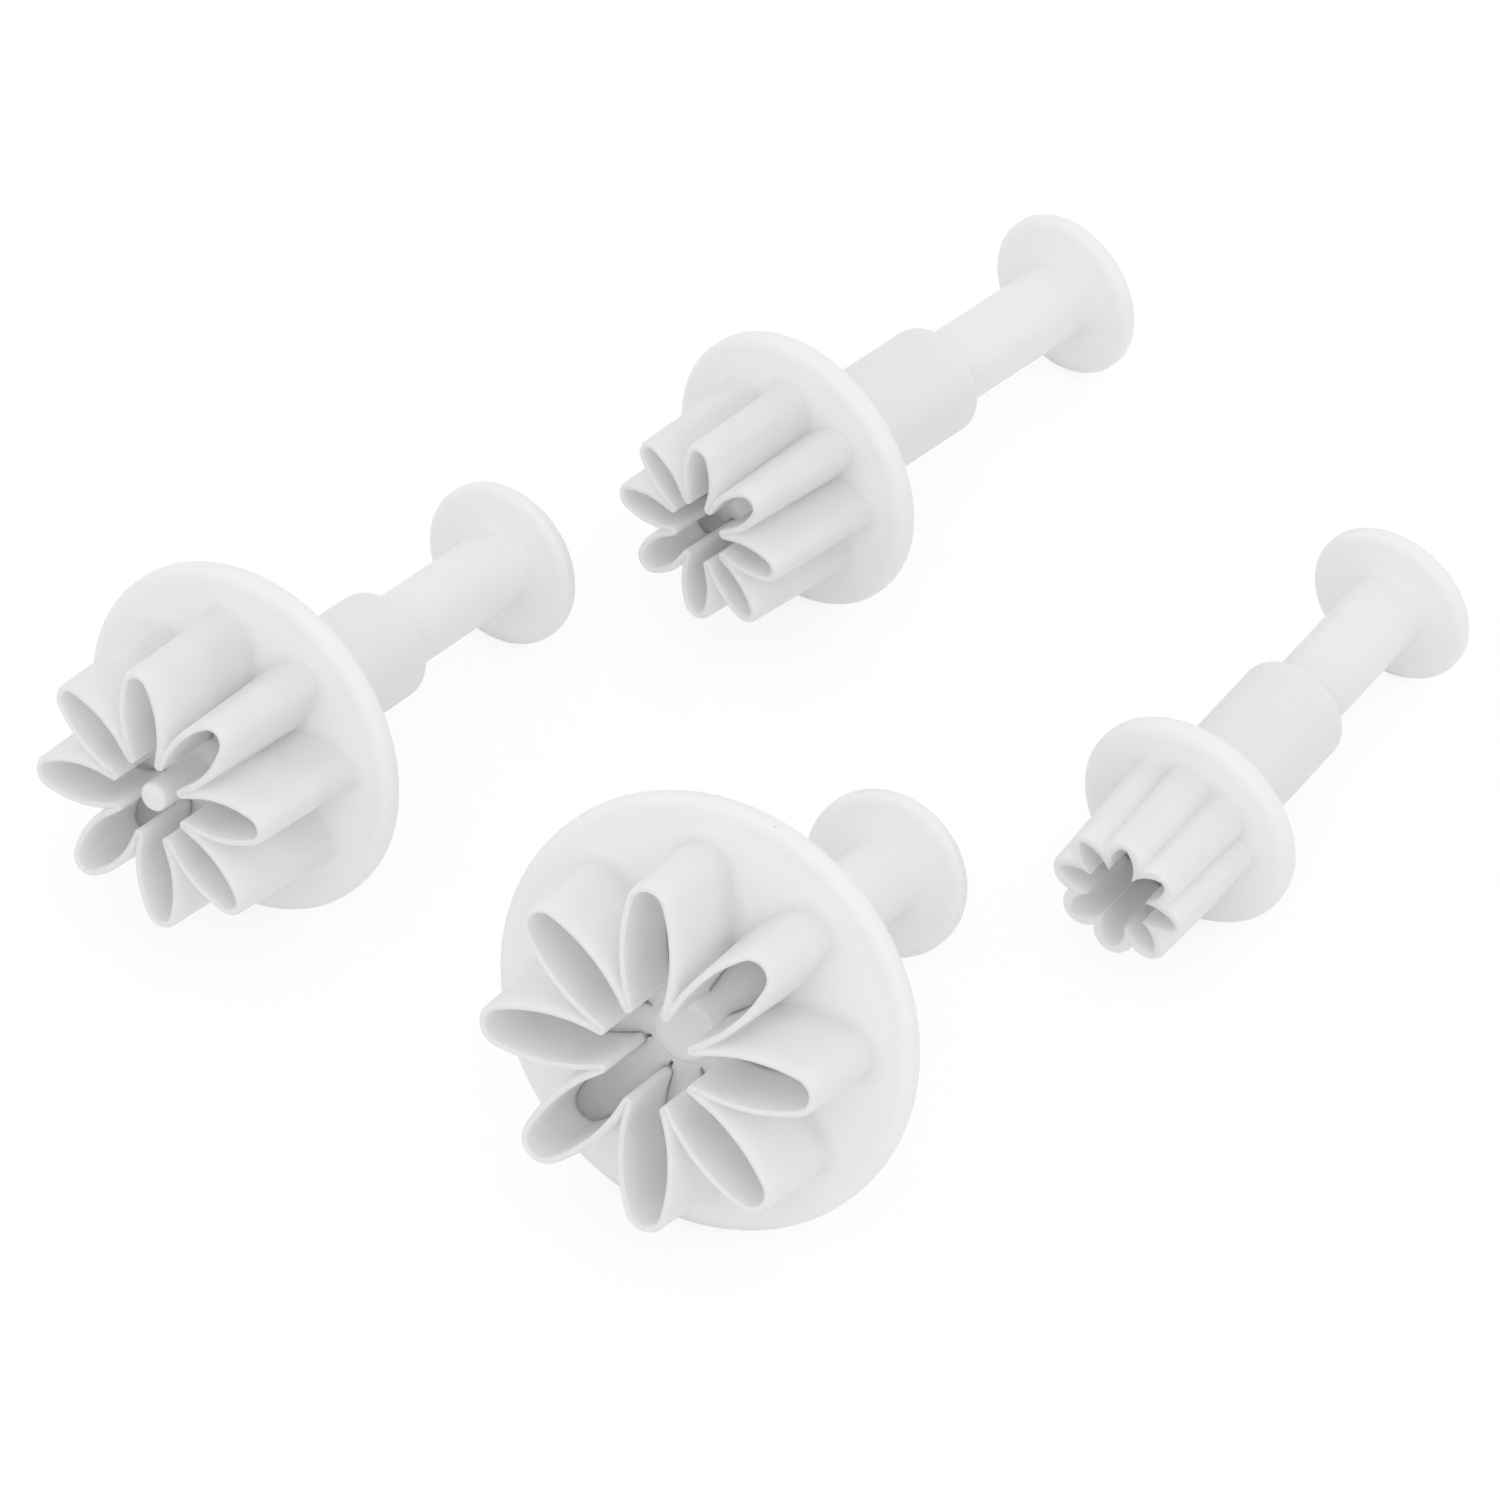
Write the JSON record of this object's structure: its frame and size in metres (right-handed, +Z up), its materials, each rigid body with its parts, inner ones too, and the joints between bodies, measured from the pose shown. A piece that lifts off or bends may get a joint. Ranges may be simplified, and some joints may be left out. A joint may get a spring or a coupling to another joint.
{
  "type": "plunger cutter set",
  "caption": "Flower plunger cutters in falling sizes, each with a thin petalled wall, round flange, barrel, sprung handle and petal embosser.",
  "frame": {"origin": "on the surface that the set lies on, under the middle of the set's bounding box", "axes": "+Z up from the surface, +Y away from the side that the cutting edges face, +X to the right as seen from that side"},
  "size_m": [0.1368, 0.1328, 0.0412],
  "materials": {
    "moulded_body_plastic": "white moulded plastic, satin to gloss",
    "moulded_embosser_plastic": "white moulded plastic, satin to gloss",
    "moulded_handle_plastic": "white moulded plastic, satin to gloss",
    "spring_steel": "drawn stainless spring wire"
  },
  "bodies": {
    "extra_large_body": {"extra_large_cutter": "moulded_body_plastic", "extra_large_spring": "spring_steel"},
    "extra_large_plunger": {"extra_large_handle": "moulded_handle_plastic", "extra_large_embosser": "moulded_embosser_plastic"},
    "large_body": {"large_cutter": "moulded_body_plastic", "large_spring": "spring_steel"},
    "large_plunger": {"large_handle": "moulded_handle_plastic", "large_embosser": "moulded_embosser_plastic"},
    "medium_body": {"medium_cutter": "moulded_body_plastic", "medium_spring": "spring_steel"},
    "medium_plunger": {"medium_handle": "moulded_handle_plastic", "medium_embosser": "moulded_embosser_plastic"},
    "small_body": {"small_cutter": "moulded_body_plastic", "small_spring": "spring_steel"},
    "small_plunger": {"small_handle": "moulded_handle_plastic", "small_embosser": "moulded_embosser_plastic"}
  },
  "joints": [
    {"name": "extra_large_plunge", "type": "slide", "parent": "extra_large_body", "child": "extra_large_plunger", "axis": [-0.4681, -0.8108, 0.3514], "range_m": [0, 0.009], "stiffness_N_per_m": 200, "springref_m": -0.01, "deforming": ["extra_large_spring"]},
    {"name": "large_lift", "type": "slide", "parent": "extra_large_body", "child": "large_body", "axis": [0, 0, 1], "range_m": [0, 0.06]},
    {"name": "large_plunge", "type": "slide", "parent": "large_body", "child": "large_plunger", "axis": [-0.5861, -0.7778, 0.2271], "range_m": [0, 0.0085], "stiffness_N_per_m": 200, "springref_m": -0.01, "deforming": ["large_spring"]},
    {"name": "medium_lift", "type": "slide", "parent": "extra_large_body", "child": "medium_body", "axis": [0, 0, 1], "range_m": [0, 0.06]},
    {"name": "medium_plunge", "type": "slide", "parent": "medium_body", "child": "medium_plunger", "axis": [-0.658, -0.7386, 0.1468], "range_m": [0, 0.008], "stiffness_N_per_m": 200, "springref_m": -0.01, "deforming": ["medium_spring"]},
    {"name": "small_lift", "type": "slide", "parent": "extra_large_body", "child": "small_body", "axis": [0, 0, 1], "range_m": [0, 0.06]},
    {"name": "small_plunge", "type": "slide", "parent": "small_body", "child": "small_plunger", "axis": [-0.5415, -0.837, 0.0793], "range_m": [0, 0.0095], "stiffness_N_per_m": 200, "springref_m": -0.01, "deforming": ["small_spring"]}
  ]
}
